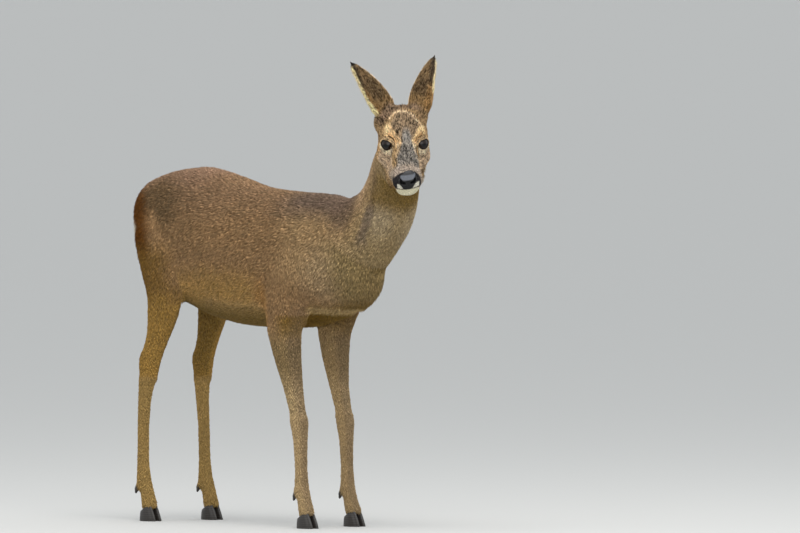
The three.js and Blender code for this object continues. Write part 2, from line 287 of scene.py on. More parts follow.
low = ease(z, 520, 300)
depth = by_kind(4.6, 4.2, 4.0, 1.5, 0.5, 4.2, 1.3)
depth = depth * (1 - 0.5 * spread(on_upper * low, 10))
length = by_kind(16.0, 15.0, 20.0, 7.5, 7.0, 14.0, 9.0)
length = length * (1 - 0.4 * spread(on_upper * low, 14))
width = by_kind(1.5, 1.45, 1.9, 0.95, 1.0, 1.4, 1.15)
crowd = by_kind(0.74, 0.86, 1.0, 1.85, 1.45, 0.86, 1.0)
lift = by_kind(0.20, 0.22, 0.22, 0.26, 0.24, 0.20, 0.20)
face = spread(on_head.astype(float), 8)
depth += 2.5 * face * ease(ahead, -35, -60) * ease(upward, 15, 35)
behind_jaw = spread(on_neck.astype(float), 6) * ease(np.linalg.norm(in_head(skin_at), axis=1), 190, 110)
length *= 1 - 0.5 * behind_jaw
width *= 1 - 0.3 * behind_jaw
crowd *= 1 + 0.5 * behind_jaw
lift *= 1 - 0.35 * behind_jaw
ear_share = spread(on_ear.astype(float), 4)
for side, sign in SIDE_SIGNS:
    mine = ear_share * (np.sign(aside) == sign)
    high_up = in_ear(skin_at, side)[:, 2] / EAR_LENGTH
    length *= 1 - 0.72 * mine * ease(high_up, 0.80, 0.98)
    lift *= 1 - 0.5 * mine * ease(high_up, 0.80, 0.98)
short = 1 - 0.5 * face * ease(ahead, 40, 95)
length *= short * (1 + 0.55 * face * ease(ahead, -30, -80) * ease(upward, 0, 40))
length *= 1 + 0.15 * face * ease(upward, -40, -75) * ease(ahead, 60, 20)
lift *= 1 - 0.4 * face * ease(upward, 0, -35)
width *= 1 - 0.15 * face * ease(ahead, 40, 95)

rump, chest = ease(x, -200, -300), ease(x, 215, 310)
fall = 0.72 * ease(z, 400, 500) * (1 - 0.45 * ease(z, 620, 690))
still = np.zeros(count)
trunk_way = np.stack([-1 + 0.72 * rump + 0.5 * chest, still, -fall - 0.8 * rump - 0.8 * chest], 1)
high = ease(z, 560, 740)
neck_way = np.stack([-0.72 + 0.45 * high, still, -0.7 - 0.25 * high], 1)
face_way = np.stack(
    [
        -np.ones(count),
        0.006 * aside * ease(ahead, 60, 110),
        0.35 * ease(ahead, 10, -40) * ease(upward, 20, 50) - 0.3 * ease(upward, 0, -40),
    ],
    1,
)
leg_way = np.stack([np.where(x > 0, -0.3, -0.42) * ease(z, 330, 520), still, -np.ones(count)], 1)
way = np.zeros((count, 3))
way[on_trunk] = trunk_way[on_trunk]
way[on_neck] = neck_way[on_neck]
way[on_tail] = (0, 0, -1)
way[on_head] = (face_way @ HEAD_AXES.T)[on_head]
for side in SIDES:
    way[named[f"ear_{side}"]] = EARS[side][3]
way[on_upper | on_lower] = leg_way[on_upper | on_lower]
way = spread(way, 24)

shares = spread(np.stack([k.astype(float) for k in kinds], 1), 8)

# Streaks: noise blurred along the lie and not across it.
STREAK_ROUNDS = 9
edge = unit(skin_at[two] - skin_at[one])
pull = np.abs(np.sum(edge * unit(way[one] + way[two]), axis=1)) ** 4 + 0.02
weight = summed(np.ones(count), pull)
streak = draw.normal(size=count)
for _ in range(STREAK_ROUNDS):
    streak = summed(streak, pull) / weight
streak /= streak.std()


# ---- Shaping the head ----
# Each eye looks out of an opening round this direction. The edge of the lids is given by the turn round it,
# in degrees from her side up, and the angle away from it at the ball's middle.
EYE_FRONT = unit(np.array([0.766, 0.445, 0.464]))
EYE_SIDE = unit(np.cross([0, 0, 1.0], EYE_FRONT))
EYE_TOP = np.cross(EYE_FRONT, EYE_SIDE)
LID_EDGE = [
    (0, 54), (13, 56), (26, 55), (40, 46), (64, 33.5), (91, 30), (120, 34), (141, 38), (164, 44), (190, 47),
    (205, 46), (227, 42), (254, 40), (276, 40.5), (295, 37), (318, 36), (335, 42), (350, 51), (360, 54),
]
LID_SPAN = 40  # degrees from the lids' edge, where a point's size is 1, to size 2
FAR = 9.0  # the size given to whatever is far from the eyes
# Lines on the face, given on her left side.
LID_CREASE = [(4.5, 33.5, 26), (7, 30, 26), (10.5, 27, 25), (14, 24.5, 23), (18.7, 22, 21), (23.5, 21, 19)]
TEAR_LINE = [(18.5, 25, 11), (23.5, 24.5, 9), (26, 25, 5.5), (25.5, 26, -1), (21.7, 27, -7)]
MOUTH_TILT = 0.12
MOUTH_LINE = [(58, -41), (75, -38), (95, -32), (106, -27.5), (118, -27)]  # how far ahead, and its height
JAW_LINE = [(-85, 27.5), (-81, 28), (-74, 30.5), (-65, 34), (-55, 35.5), (-46, 39), (-37, 44), (-19, 62)]
# She carries her lower face a little to her right.
SWAY = -3.5


def lid_edge(turn):
    return along(np.degrees(turn) % 360, LID_EDGE)


def round_eye(points, sign):
    """Where points are from an eye's middle, how far, their turn and their size: 1 on the lids' edge."""
    q = in_head(points) * (1, sign, 1) - EYE_AT
    away = np.linalg.norm(q, axis=1)
    turn = np.arctan2(q @ EYE_TOP, q @ EYE_SIDE)
    angle = np.degrees(np.arccos(np.clip(q @ EYE_FRONT / np.maximum(away, 1e-9), -1, 1)))
    return q, away, turn, 1 + (angle - lid_edge(turn)) / LID_SPAN


def widened(size, away):
    """A point's size round the eye, larger the further it is from the ball."""
    return size + 0.03 * np.maximum(away - 19, 0)


def eye_way(turn, size):
    """The direction out of the eye's middle at this turn and size."""
    angle = np.radians(lid_edge(turn) + LID_SPAN * (size - 1))
    flat = np.cos(turn)[:, None] * EYE_SIDE + np.sin(turn)[:, None] * EYE_TOP
    return np.cos(angle)[:, None] * EYE_FRONT + np.sin(angle)[:, None] * flat


def gap_to(points, line):
    """How far points are from a line of several straights."""
    least = np.full(len(points), np.inf)
    for start, end in zip(np.array(line)[:-1], np.array(line)[1:]):
        share = np.clip((points - start) @ (end - start) / np.sum((end - start) ** 2), 0, 1)
        least = np.minimum(least, np.linalg.norm(points - start - share[:, None] * (end - start), axis=1))
    return least


def swayed(a):
    return SWAY * ease(a, 10, 60)


def levelled(a, s, u):
    """Heights on the muzzle's front, which she carries slightly tilted."""
    return u - MOUTH_TILT * s * ease(a, 80, 102)


def mouth_level(a):
    return along(a, MOUTH_LINE)


# The bare nose: how far its edge is from its middle, by the angle up from the side.
NOSE_MIDDLE = -11.0
NOSE_EDGE = [
    (-90, 16.5), (-62, 17.5), (-50, 15.8), (-29, 14.8), (-3, 17.8), (17, 19.6), (35, 19), (52, 18.2),
    (90, 17.4),
]


def nose_edge(angle):
    """angle is in degrees from her left, up."""
    folded = np.degrees(np.arctan2(np.sin(np.radians(angle)), np.abs(np.cos(np.radians(angle)))))
    return along(folded, NOSE_EDGE)


def within_nose(s, u):
    """0 in the middle of the bare nose and 1 on its edge."""
    return np.hypot(s, u - NOSE_MIDDLE) / nose_edge(np.degrees(np.arctan2(u - NOSE_MIDDLE, s)))


facing = normals_of(skin_at)
skin_at -= facing * (depth * MM)[:, None]

head_at = in_head(skin_at)
near_head = on_head | (face > 0.02)
a, s, u = head_at.T
# The jaw narrows from the cheeks down to the lips.
drop = -0.545 * a + 0.839 * u
extra = np.maximum(np.abs(s) - along(drop, JAW_LINE), 0) * near_head * ease(a, -30, -5)
head_at[:, 1] -= np.sign(s) * 0.8 * extra
a, s, u = head_at.T
level = levelled(a, s, u)
below = mouth_level(a) - level
# The chin is full.
head_at[:, 2] -= 3.2 * ease(below, 1, 12) * ease(a, 74, 90) * near_head
head_at[:, 0] += 2.4 * ease(below, 4, 14) * ease(a, 80, 96) * near_head
# The chin sits back a little under the upper lip, and the mouth is a groove between them.
head_at[:, 0] -= 1.5 * ease(below, 0, 3) * ease(a, 80, 100) * near_head
# The flesh behind the bare nose makes room for the nostrils.
reach = within_nose(s, level)
head_at[:, 0] -= 9.0 * ease(reach, 0.96, 0.82) * ease(a, 86, 94) * near_head
sunk = 1.7 * np.exp(-((below / 1.9) ** 2)) * ease(a, 56, 76) * near_head
# The tear line and the crease over the eye are grooves too.
for sign in (-1, 1):
    for line in (TEAR_LINE, LID_CREASE):
        sunk += 1.5 * np.exp(-((gap_to(head_at * (1, sign, 1), line) / 2.4) ** 2)) * near_head
# Her muzzle is a little fuller on her left.
head_at[:, 1] += 2.8 * ease(head_at[:, 1], 6, 22) * ease(a, 74, 94) * ease(below, 14, -2) * near_head
head_at[:, 1] += swayed(head_at[:, 0]) * near_head
# Behind the brisket's edge the chest is hollow between the forelegs.
sunk += 5.5 * spread(on_trunk * ease(x, 150, 185) * ease(z, 441, 434), 3)
skin_at = from_head(head_at)
skin_at -= normals_of(skin_at) * (sunk * MM)[:, None]

def rounded(ring, rounds):
    """Values round a ring, smoothed."""
    for _ in range(rounds):
        ring = (np.roll(ring, 1) + 2 * np.array(ring) + np.roll(ring, -1)) / 4
    return ring


# The lids lie on the face round the eye, so its distance out from the eye is kept before the eye is opened.
LID_STEPS = 64
BALL_CLEAR = 16.6  # the least that the face stands out from the eye's middle
FACE_CLEAR = 26  # the most
lid_turn = np.linspace(0, 2 * np.pi, LID_STEPS, endpoint=False)
face_out = {}
for sign in (-1, 1):
    away = round_eye(skin_at, sign)[1]
    close = near_head & (away < 45)
    face_net = BVHTree.FromPolygons(skin_at.tolist(), cells[close[cells].all(axis=1)].tolist())
    centre = Vector(eye_centre(sign))
    found = []
    for way_out in eye_way(lid_turn, 1.5):
        hit = face_net.ray_cast(centre, Vector(HEAD_AXES @ (way_out * (1, sign, 1))))
        found.append(min(max(hit[3] / MM if hit[0] else FACE_CLEAR, BALL_CLEAR), FACE_CLEAR))
    face_out[sign] = rounded(found, 4)

OVER_BALL = 16.4  # how far from the eye's middle the skin bulges over the ball
BEHIND_LIDS = 12.5  # how far from it the skin lies hidden behind the lids
eye_ring = np.full(count, FAR)
for sign in (-1, 1):
    q, away, turn, size = round_eye(skin_at, sign)
    near = near_head & (away < 34) & (q[:, 1] > -26)
    ring = np.where(near, widened(size, away), FAR)
    eye_ring = np.minimum(eye_ring, ring)
    hidden = np.minimum(away, BEHIND_LIDS)
    # Where the face is low beside the eye, the skin bulges over the ball.
    over_ball = 0.5 * (away + OVER_BALL + np.sqrt((away - OVER_BALL) ** 2 + 1.0))
    wanted = hidden + ease(ring, 1.3, 1.5) * (over_ball - hidden)
    q = q * (wanted / np.maximum(away, 1e-9))[:, None] + EYE_AT
    skin_at[near] = from_head(q * (1, sign, 1))[near]
facing = normals_of(skin_at)


# ---- Markings and painted light and shade, which skin and coat share ----
BROWN = paint(135, 107, 75)


def blend(tones, new, share):
    """Colours with a share of another laid over them."""
    return tones + np.clip(share, 0, 1)[:, None] * (paint(*new) - tones)


def markings_and_painted_light(at, out, share):
    """The coat's colour, with painted shade and highlights in places, and how strongly it is ticked.

    out are the normals. share is how much each point belongs to each of the kinds.
    """
    x, y, z = in_body(at).T
    head = in_head(at)
    a, s, u = head.T
    w = np.abs(s)
    trunk, neck, tail, face, ear, upper, lower = share.T
    body = trunk + neck + tail + upper + lower
    haunch, leg = trunk + upper, upper + lower
    in_front = ease(x, 40, 100)
    wide, fine = noise(at, 0.06, 1), noise(at, 0.018, 2)
    ragged = 7 * wide + 4 * fine
    colour = np.tile(BROWN, (len(at), 1))
    ticked = np.full(len(at), 1.0)

    def lay(new, mask):
        colour[:] = blend(colour, new, mask)

    # Trunk and neck
    mirrored = np.stack([x, np.abs(y), z], 1)
    lay((120, 95, 72), 0.8 * trunk * ease(z + ragged, 590, 680))  # back
    lay((138, 110, 90), 0.75 * trunk * ease(z + ragged, 670, 710) * ease(x, -40, -120))  # croup
    # Dark place before the hip
    lay((98, 78, 54), 0.85 * trunk * blob(mirrored, (-215, 90, 640), (60, 60, 55), 0.9))
    rear = np.maximum(ease(x - np.abs(y) + ragged, -292, -330), ease(x + ragged, -255, -300))
    lay((84, 48, 8), 0.95 * haunch * rear * ease(z, 400, 500))  # rust round the rump
    lay((111, 84, 40), 0.85 * haunch * ease(x + ragged, -120, -190) * ease(z, 590, 530))  # thigh
    lay((158, 126, 72), 0.75 * trunk * ease(z + ragged, 545, 480) * ease(x, 130, 60))  # low flank
    lay((143, 119, 86), 0.8 * body * ease(x + ragged, 110, 220) * ease(z, 470, 540))  # forehand
    lay((150, 130, 100), 0.6 * blob(mirrored, (285, 80, 520), (50, 55, 50), 0.8))  # point of the shoulder
    lay((156, 130, 102), 0.8 * neck * ease(z + ragged, 620, 680))  # neck
    lay((141, 124, 90), 0.7 * neck * ease(x - 0.35 * z + ragged, 70, 150))  # front of the neck
    # Pale place low on the neck
    lay((166, 150, 124), 0.7 * neck * blob(mirrored, (385, 55, 640), (30, 40, 50), 0.9))
    # The breast is darkened as painted shade.
    lay((119, 102, 66), 0.8 * trunk * ease(x + ragged, 255, 310) * ease(z, 440, 480))  # breast
    # Painted shade on the upward-facing top of the withers.
    shaded_withers = ease(x, 90, 190) * ease(out[:, 2], 0.35, 0.85) * ease(z, 600, 640)
    lay((94, 78, 68), 0.92 * (trunk + neck) * shaded_withers)
    # Painted shade in the hollow where the neck leaves the withers
    lay((88, 72, 60), 0.75 * blob(mirrored, (287, 40, 645), (22, 40, 32), 0.8))
    lay((158, 118, 68), 0.65 * blob(mirrored, (108, 92, 440), (18, 40, 48), 0.8))  # elbow
    lay((158, 132, 92), 0.6 * trunk * ease(z + ragged, 470, 440))  # lower edge of the flank
    # Painted shade under the belly, on downward-facing skin.
    shaded_underside = trunk * ease(-out[:, 2], 0.45, 0.8)
    lay((98, 78, 36), 0.85 * shaded_underside)
    brisket = trunk * ease(x, 140, 175) * ease(np.abs(z - 443), 9, 4) * ease(-out[:, 2], 0, 0.4)
    lay((170, 146, 104), 0.7 * brisket)  # pale edge of the brisket
    # Painted shade in the hollow behind the brisket, between the forelegs.
    shade_between_forelegs = ease(x, 140, 180) * ease(z, 437, 432) * ease(z, 380, 395) * ease(-out[:, 2], -0.1, 0.3)
    lay((112, 86, 32), 0.8 * haunch * shade_between_forelegs)
    ticked *= 1 - 0.6 * haunch * rear
    # Legs
    lay((152, 120, 62), 0.75 * upper * ease(x, -100, -160) * ease(z + ragged, 500, 420))  # stifle
    lay((126, 107, 74), 0.9 * upper * in_front * ease(z + ragged, 430, 360))  # forearm
    lay((162, 140, 104), 0.85 * leg * in_front * ease(z + ragged, 330, 270))  # knee and cannon
    lay((150, 124, 74), 0.85 * lower * ease(x, 0, -60))  # hock and hind cannon
    inner = np.sign(y) * -out[:, 1]
    # Inside of the forelegs
    lay((150, 126, 90), 0.5 * leg * ease(inner, 0.3, 0.8) * ease(x, -100, 0))
    lay((112, 88, 42), 0.7 * upper * ease(inner, 0.1, 0.6) * ease(x, 0, -100))  # inside of the thighs, darkened as painted shade between the legs
    hind = ease(-out[:, 0], 0.5, 0.95) * ease(x, -100, -160) * ease(z, 420, 300)
    lay((84, 66, 46), 0.5 * leg * hind)  # back of the hind legs
    lay((100, 84, 68), 0.45 * leg * in_front * ease(out[:, 0], 0.4, 0.95))  # front of the forelegs
    # The white patch round the tail
    patch = blob(np.stack([y, z + 0.5 * ragged], 1), (0, 568), (80, 58), 0.2) * ease(x, -268, -292)
    lay((240, 234, 216), patch + tail)
    ticked *= 1 - 0.85 * np.clip(patch + tail, 0, 1)
    # Neck: painted shade in the fold that runs down its side
    neck_fold_shade = ease(np.abs(x - 0.25 * (z - 640) - 352 + 6 * fine), 12, 4)
    lay((92, 80, 74), 0.6 * neck * neck_fold_shade * ease(-y, -5, 15) * ease(z, 560, 600) * ease(z, 745, 700))
    lay((108, 84, 32), 0.8 * neck * ease(u, -62, -88) * ease(u, -160, -125) * ease(a, -50, 0))  # painted shade on the throat under the jaw

    # Face
    flat = np.stack([a, w, u], 1)
    lay((136, 112, 80), 0.95 * face)  # all of the face
    # Behind the eye
    lay((108, 87, 64), 0.75 * face * ease(a + 2 * fine, -20, -32) * ease(w, 20, 30) * ease(w, 46, 38))
    cheek = ease(w + 3 * fine, 17, 27) * ease(u, -46, -32) * ease(u, -2, -10) * ease(a, -25, -5)
    lay((162, 142, 120), 0.8 * face * cheek)
    brow = gap_to(flat, [(-15, 35, 35), (-8, 34, 30), (10, 26, 30), (27, 16.5, 26)]) + 2 * fine
    lay((216, 182, 138), 0.9 * face * ease(brow, 12, 6))
    lay((240, 202, 148), 0.6 * face * ease(brow, 10, 4) * ease(s, 0, 8))  # brighter on her left, painted light
    # Painted highlight along the brow's bulge
    lay((222, 192, 150), 0.5 * face * ease(gap_to(flat, [(-14, 36, 34), (0, 32, 32)]) + 2 * fine, 6, 2.5))
    # Warm edge under the brow
    lay((166, 122, 76), 0.6 * face * ease(gap_to(flat, [(2, 31, 27), (24, 17, 24)]) + 2 * fine, 5.5, 2.5))
    edge_of_dome = along(a, [(-40, 8), (-32, 20), (-22, 25), (-8, 25.5), (8, 20), (21, 13), (32, 9)])
    dome = face * ease(w + 3 * fine, edge_of_dome + 2, edge_of_dome - 2)
    dome *= ease(a, -42, -36) * ease(a, 36, 24) * ease(u, 20, 28)
    lay((104, 88, 71), 0.88 * dome)  # dome of the forehead
    crown = face * ease(a + 0.2 * s + 2 * fine, -39, -45) * ease(u, 10, 30)
    lay((92, 74, 60), 0.85 * crown)
    arc_line = [(-31, -28), (-37, -20), (-39, -6), (-35, 7), (-29, 18), (-21, 26), (-13, 34)]
    arc = gap_to(np.stack([a, s], 1), arc_line)
    # Pale arc over the dome
    lay((206, 177, 144), 0.85 * face * ease(arc + 0.8 * fine, 3.4, 1.4) * ease(u, 22, 30))
    on_right = along(a, [(5, 7), (26, 8), (33, 8.5), (43, 12.4), (55, 17), (62, 21.6), (78, 22), (95, 22)])
    on_left = along(a, [(5, 7), (26, 10), (40, 17), (55, 23), (75, 27), (95, 28)])
    half = np.where(s > 0, on_left, on_right)
    bridge = face * ease(w + 3 * fine, half + 3, half - 3) * ease(a, -4, 16) * ease(a, 92, 80)
    lay((108, 105, 101), 0.9 * bridge * ease(u, -14, -4))  # bridge of the nose
    pale_line = gap_to(flat, [(27, 15.5, 22), (40, 15, 19), (58, 20, 8), (40, 27, -8), (24, 33, -20)])
    lay((196, 174, 146), 0.6 * face * ease(pale_line + 1.5 * fine, 4, 1.5))  # pale line beside the bridge
    lay((120, 94, 60), 0.8 * face * ease(u + 3 * fine, -40, -52) * ease(a, 78, 62))  # jaw
    lay((106, 82, 40), 0.9 * face * ease(u + 3 * fine, -54, -68))  # painted shade under the jaw
    # Behind the cheek
    lay((166, 130, 86), 0.6 * face * ease(w, 41, 46) * ease(u, 0, -15) * ease(a, 0, -14))
    # Snout
    lay((130, 120, 110), 0.75 * face * ease(a - 0.9 * np.minimum(u, 0), 70, 86) * ease(u, -38, -28))
    s = s - swayed(a)
    side_of = np.sign(s)
    for sign in (-1, 1):
        _, away, turn, size = round_eye(at, sign)
        ring = widened(size, away)
        near = face * (side_of == sign) * (away < 32)
        under = np.sin(turn)
        limit = 1.85 + 0.45 * ease(np.cos(turn), -0.2, 0.6)
        pale_ring = ease(ring + 0.08 * fine, limit + 0.15, limit - 0.25) * ease(under, 0.05, -0.35)
        lay((214, 196, 168), 0.8 * near * pale_ring)  # below the eye
        lay((178, 152, 118), 0.8 * near * ease(ring, 1.6, 1.3) * ease(under, 0, 0.4))  # above the eye
        # Painted shade in the crease over the lid
        lay((46, 30, 18), 0.92 * face * ease(gap_to(flat, LID_CREASE), 2.3, 1.2) * (side_of == sign))
        # Tear line
        lay((52, 40, 32), 0.9 * face * ease(gap_to(flat, TEAR_LINE), 2.3, 1.1) * (side_of == sign))
        lay((40, 30, 24), 0.95 * near * ease(ring, 1.08, 1.02) * (away < 22))  # dark edge of the lids
    w = np.abs(s)
    level = levelled(a, s, u)
    below = mouth_level(a) - level
    arch = (np.abs(s + 1.2) / 28.5) ** 2.5 + (np.maximum(level + 24, 0) / 29.6) ** 2.5
    # Hem of the black
    lay((160, 146, 134), 0.6 * face * ease(arch, 1.5, 1.25) * ease(a, 78, 88) * ease(level, -6, 0))
    black = face * ease(arch + 0.05 * fine, 1.05, 0.95) * ease(a, 87, 92) * ease(below, 1, -1)
    lay((40, 38, 39), black)  # black round the nose
    slant = w - np.where(s > 0, 12.4, 9.6) - 0.65 * (level + 21)
    outer = np.where(s > 0, 23.2, 20.3)
    spot = ease(slant, -0.6, 0.9) * ease(w, outer + 0.8, outer - 0.8)
    spot = spot * ease(level, -26.5, -25) * ease(level, -13.5, -16) * face * ease(a, 97, 101)
    lay((240, 235, 218), spot)  # white spots beside the nose
    chin = face * ease(below + 0.6 * fine, 1.0, 2.6) * ease(a + 3 * fine, 80, 92)
    chin *= ease(w, outer + 1.5, outer - 1.5)
    lay((250, 243, 212), chin)
    lay((176, 150, 100), chin * ease(level + 2 * fine, -50, -56))  # lower edge of the chin
    lay((36, 28, 22), 0.9 * face * ease(np.abs(below), 1.6, 0.7) * ease(a, 74, 90))  # mouth, painted shade in its groove
    ticked *= 1 - 0.85 * np.clip(chin + spot + black, 0, 1)
    ticked *= 1 + 0.3 * face + 0.4 * np.clip(dome + bridge + crown, 0, 1)
    ticked *= 1 - 0.5 * np.clip(shaded_underside + lower, 0, 1)

    # Ears
    for side, sign in SIDE_SIGNS:
        c, _, t = in_ear(at, side).T
        mine = ear * (side_of == sign)
        t = t / EAR_LENGTH
        shut = 0.4 * ease(t, 0.5, 0.2) if sign > 0 else 0
        within = ease(out @ EARS[side][2], shut - 0.05, shut + 0.35) * ease(t, 0.08, 0.2)
        lateral = sign * c
        reach = ear_half(t)
        lay((90, 71, 48), mine)  # all of the ear
        behind = np.hypot((t - 0.38) / 0.22, c / 15)
        lay((62, 48, 32), 0.6 * mine * ease(behind + 0.2 * fine, 1.3, 0.6))  # dark middle of its back
        lay((118, 92, 58), 0.7 * mine * ease(t + 0.006 * ragged, 0.32, 0.1))  # its foot
        # Warm outer side
        lay((140, 104, 60), 0.4 * mine * ease(lateral, reach - 12, reach - 5) * ease(t, 0.6, 0.4))
        dark_band = ease(lateral, reach - 13, reach - 7) * ease(t + 0.08 * fine, 0.36, 0.62)
        lay((44, 35, 26), 0.9 * mine * dark_band)  # dark outer band
        inner_edge = ease(fine - lateral, reach - 6.0, reach - 3.5) * ease(t, 0.92, 0.84)
        lay((198, 176, 148), 0.8 * mine * inner_edge)
        rim = reach - (3.2 - 3 * ease(t, 0.4, 0.2) if sign > 0 else 5.0)
        # Pale rim
        lay((224, 204, 156), 0.95 * mine * ease(lateral + 0.7 * fine, rim, rim + 1.8) * ease(t, 0.94, 0.88))
        lay((212, 196, 164), 0.95 * mine * within * ease(t, 0.95, 0.85))  # hollow
        lay((34, 28, 23), 0.95 * mine * ease(t + 0.006 * ragged, 0.87, 0.94))  # tip
        ticked *= 1 + 0.3 * mine * (1 - within) - 0.7 * mine * within
    # Broad unevenness, and the light that the hairs keep from each other
    colour *= (1 + 0.07 * wide + 0.05 * fine)[:, None]
    strongest = colour.max(axis=1, keepdims=True)
    return np.clip(colour * np.minimum(1.5, 0.45 / strongest + 0.42), 0, 1), ticked


# ---- Materials ----
CARRIED = "hair"  # the colours that skin, coat, nose and eyes carry


class Finish:
    """A procedural material that is built up from a few steps."""

    def __init__(self, name, **settings):
        self.made = bpy.data.materials.new(name)
        self.made.use_nodes = True
        self.nodes, self.links = self.made.node_tree.nodes, self.made.node_tree.links
        self.shader = self.nodes["Principled BSDF"]
        self.put(self.shader, settings)

    def put(self, node, settings):
        for socket, value in settings.items():
            node.inputs[socket.replace("_", " ")].default_value = value

    def texture(self, kind, **settings):
        """A texture in the model's own metres."""
        place = self.nodes.new("ShaderNodeTexCoord")
        made = self.nodes.new("ShaderNodeTex" + kind)
        self.put(made, settings)
        self.links.new(place.outputs["Object"], made.inputs["Vector"])
        return made

    def ranged(self, value, low, high):
        """What a socket gives from 0 to 1, laid out from low to high."""
        made = self.nodes.new("ShaderNodeMapRange")
        self.put(made, {"To Min": low, "To Max": high})
        self.links.new(value, made.inputs["Value"])
        return made.outputs["Result"]

    def colour_carried(self, times, factor=1.0):
        """The base colour is what the piece carries, multiplied by what a socket gives."""
        carried = self.nodes.new("ShaderNodeAttribute")
        carried.attribute_name = CARRIED
        mixed = self.nodes.new("ShaderNodeMix")
        mixed.data_type = "RGBA"
        mixed.blend_type = "MULTIPLY"
        mixed.inputs["Factor"].default_value = factor
        self.links.new(carried.outputs["Color"], mixed.inputs["A"])
        self.links.new(times, mixed.inputs["B"])
        self.links.new(mixed.outputs["Result"], self.shader.inputs["Base Color"])

    def bump(self, height, strength, distance, invert=False):
        made = self.nodes.new("ShaderNodeBump")
        made.invert = invert
        self.put(made, {"Strength": strength, "Distance": distance})
        self.links.new(height, made.inputs["Height"])
        self.links.new(made.outputs["Normal"], self.shader.inputs["Normal"])


def coated(name, roughness, scale):
    """A hair finish: the colour that a piece carries, broken up finely."""
    finish = Finish(name, Roughness=roughness, Specular_IOR_Level=0.08)
    speckle = finish.texture("Noise", Scale=scale, Detail=3.0).outputs["Fac"]
    finish.colour_carried(finish.ranged(speckle, 0.72, 1.28))
    return finish, speckle


coat_hair = coated("coat_hair", 0.78, 260)[0].made
under, speckle = coated("coat_underlayer", 0.9, 420)
under.bump(speckle, 0.6, 0.0015)
coat_underlayer = under.made


def carry(mesh, colours):
    """Gives a mesh a colour at each point."""
    layer = mesh.attributes.new(CARRIED, "FLOAT_COLOR", "POINT")
    rgba = np.ones((len(colours), 4), np.float32)
    rgba[:, :3] = colours
    layer.data.foreach_set("color", rgba.ravel())


def plain_mesh(name, points, faces, material, colours):
    """A mesh from arrays, smooth shaded, carrying these colours."""
    mesh = bpy.data.meshes.new(name)
    sides = faces.shape[1]
    mesh.vertices.add(len(points))
    mesh.vertices.foreach_set("co", points.astype(np.float32).ravel())
    mesh.loops.add(faces.size)
    mesh.loops.foreach_set("vertex_index", faces.astype(np.int32).ravel())
    mesh.polygons.add(len(faces))
    mesh.polygons.foreach_set("loop_start", np.arange(0, faces.size, sides, dtype=np.int32))
    mesh.polygons.foreach_set("use_smooth", np.ones(len(faces), bool))
    mesh.update(calc_edges=True)
    mesh.materials.append(material)
    carry(mesh, colours)
    return in_scene(name, mesh)


def only(*chosen):
    """Selects just these objects, the first one active."""
    bpy.ops.object.select_all(action="DESELECT")
    for o in chosen:
        o.select_set(True)
    bpy.context.view_layer.objects.active = chosen[0]


# ---- The skin ----
colour, ticked = markings_and_painted_light(skin_at, facing, shares)
UNDER_COAT = 0.62  # the skin is darker than the coat
skin = plain_mesh("skin", skin_at, cells, coat_underlayer, colour * UNDER_COAT)
# The body's net is thinned, and that of head, ears and lower legs is kept.
body = skin.vertex_groups.new(name="body")
coarse = np.clip(1 - spread((on_head | on_ear | on_lower).astype(float), 6), 0, 1)
for tenth in range(11):
    these = np.nonzero(np.round(coarse * 10) == tenth)[0]
    body.add(these.tolist(), tenth / 10, "REPLACE")
thin = skin.modifiers.new("thin", "DECIMATE")
thin.decimate_type = "COLLAPSE"
thin.ratio = 0.36
thin.vertex_group = "body"
thin.vertex_group_factor = 1.0
only(skin)
bpy.ops.object.modifier_apply(modifier="thin")
skin.vertex_groups.clear()


# ---- Patches of bare skin and lids, as nets of rings ----
def ring_net(rings):
    """Points and faces over a list of rings."""
    around = len(rings[0])
    here = np.arange((len(rings) - 1) * around)
    beside = here - here % around + (here + 1) % around
    return np.concatenate(rings), np.stack([here, beside, beside + around, here + around], 1)


def facing_out(made, doubles=0.0):
    """Merges doubled points if asked to, and turns all faces outward."""
    only(made)
    bpy.ops.object.mode_set(mode="EDIT")
    bpy.ops.mesh.select_all(action="SELECT")
    if doubles:
        bpy.ops.mesh.remove_doubles(threshold=doubles)
    bpy.ops.mesh.normals_make_consistent(inside=False)
    bpy.ops.object.mode_set(mode="OBJECT")


# The lids in section: their size round the eye, and how far from the eye's middle.
LID_RISE = [
    (0.90, 15.1), (0.93, 15.8), (0.965, 16.4), (1.01, 16.8), (1.06, 16.9), (1.12, 16.8), (1.19, 16.7),
    (1.26, 16.8), (1.33, 17.0), (1.40, 17.0), (1.47, 17.0), (1.55, 17.0),
]
LID_BACK = [1.66, 1.66, 1.3, 0.9]  # the sizes that close them inside the face
LID_SUNK = 1.6  # how far the first of these lies under the face
LID_INSIDE = 13.5  # how far the others lie from the eye's middle
LID_SIZES = [size for size, _ in LID_RISE] + LID_BACK


def lid_reach(turn, size, sign):
    """How far from the eye's middle the lids' outside is, in a direction round the eye and out from it."""
    own = along(size, LID_RISE)
    on_face = np.interp(turn, lid_turn, face_out[sign], period=2 * np.pi)
    return own + ease(size, 1.08, 1.45) * (on_face + 0.3 - own)


def lid_point(turn, size, sign):
    return eye_way(turn, size) * lid_reach(turn, size, sign)[:, None]


def lid(sign):
    """The lids round one eye: a ring that turns in to the ball at its edge and sinks into the face."""
    rings = []
    for number, size in enumerate(LID_SIZES):
        reach = np.full(LID_STEPS, LID_INSIDE)
        if number < len(LID_RISE):
            reach = lid_reach(lid_turn, size, sign)
        elif number == len(LID_RISE):
            reach = face_out[sign] - LID_SUNK
        q = eye_way(lid_turn, size)
        rings.append(from_head((q * reach[:, None] + EYE_AT) * (1, sign, 1)))
    rings.append(rings[0])
    points, faces = ring_net(rings)
    last = (len(rings) - 1) * LID_STEPS
    faces = np.where(faces >= last, faces - last, faces)
    return points[:last], (faces if sign > 0 else faces[:, ::-1])


